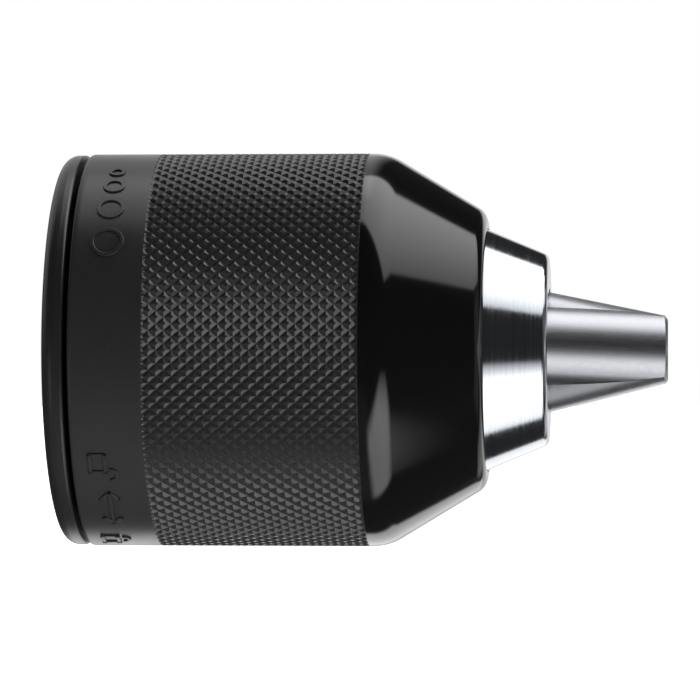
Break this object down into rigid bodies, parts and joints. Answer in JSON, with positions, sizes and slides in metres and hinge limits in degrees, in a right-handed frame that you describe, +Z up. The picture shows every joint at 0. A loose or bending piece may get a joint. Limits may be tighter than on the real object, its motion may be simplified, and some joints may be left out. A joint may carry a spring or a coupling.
{
  "type": "drill chuck",
  "caption": "Keyless single-sleeve drill chuck with three inclined jaws, threaded spindle hole, black knurled sleeve and polished nose.",
  "frame": {"origin": "centre of the spindle thread's mouth, in the chuck's rear face", "axes": "+X along the chuck axis towards the jaws' tips, +Z up"},
  "size_m": [0.0659, 0.043, 0.043],
  "materials": {
    "polished_body": "polished and chromed, with fine turning lines",
    "black_sleeve": "black: satin band, dull knurl, gloss cone",
    "black_cover": "satin black",
    "jaw_steel": "ground",
    "hardened_steel": "hardened, dark",
    "spring_steel": "drawn wire",
    "ball_steel": "polished",
    "cage_brass": "stamped",
    "nut_steel": "phosphated",
    "liner_steel": "pressed sheet",
    "bush_plastic": "moulded"
  },
  "bodies": {
    "root": {"chuck_body": "polished_body", "rear_cover": "black_cover", "ratchet_ring": "hardened_steel", "snap_ring": "spring_steel"},
    "nut": {"nut_half_a": "nut_steel", "nut_half_b": "nut_steel", "nut_collar": "nut_steel", "front_race": "hardened_steel", "pawl_pins": "spring_steel", "pawl_springs": "spring_steel"},
    "cage": {"ball_cage": "cage_brass", "bearing_balls": "ball_steel"},
    "sleeve": {"outer_sleeve": "black_sleeve", "sleeve_insert": "liner_steel", "front_bush": "bush_plastic"},
    "jaw_1": {"jaw_1": "jaw_steel"},
    "jaw_2": {"jaw_2": "jaw_steel"},
    "jaw_3": {"jaw_3": "jaw_steel"},
    "pawl_1": {"pawl_1": "hardened_steel"},
    "pawl_2": {"pawl_2": "hardened_steel"}
  },
  "joints": [
    {"name": "nut_spin", "type": "hinge", "parent": "root", "child": "nut", "pos_m": [0.028, 0, 0], "axis": [1, 0, 0], "range_deg": [0, 5340]},
    {"name": "cage_spin", "type": "hinge", "parent": "root", "child": "cage", "pos_m": [0.0222, 0, 0], "axis": [1, 0, 0], "range_deg": [0, 2671]},
    {"name": "sleeve_turn", "type": "hinge", "parent": "nut", "child": "sleeve", "pos_m": [0.028, 0, 0], "axis": [-1, 0, 0], "range_deg": [0, 32]},
    {"name": "jaw_1_slide", "type": "slide", "parent": "root", "child": "jaw_1", "axis": [-0.9659, 0.0885, -0.2432], "range_m": [0, 0.02226]},
    {"name": "jaw_2_slide", "type": "slide", "parent": "root", "child": "jaw_2", "axis": [-0.9659, 0.1664, 0.1983], "range_m": [0, 0.02226]},
    {"name": "jaw_3_slide", "type": "slide", "parent": "root", "child": "jaw_3", "axis": [-0.9659, -0.2549, 0.0449], "range_m": [0, 0.02226]},
    {"name": "pawl_1_tilt", "type": "hinge", "parent": "nut", "child": "pawl_1", "pos_m": [0.0196, 0.01624, -0.00937], "axis": [1, 0, 0], "range_deg": [0, 6.1]},
    {"name": "pawl_2_tilt", "type": "hinge", "parent": "nut", "child": "pawl_2", "pos_m": [0.0196, -0.01624, 0.00937], "axis": [1, 0, 0], "range_deg": [0, 6.1]}
  ],
  "couplings": [
    {"joint": "cage_spin", "follows": "nut_spin", "ratio": 0.5},
    {"joint": "jaw_1_slide", "follows": "nut_spin", "m_per_rad": 0.00023873},
    {"joint": "jaw_2_slide", "follows": "nut_spin", "m_per_rad": 0.00023873},
    {"joint": "jaw_3_slide", "follows": "nut_spin", "m_per_rad": 0.00023873},
    {"joint": "pawl_1_tilt", "follows": "sleeve_turn", "ratio": 0.1875},
    {"joint": "pawl_2_tilt", "follows": "sleeve_turn", "ratio": 0.1875}
  ]
}
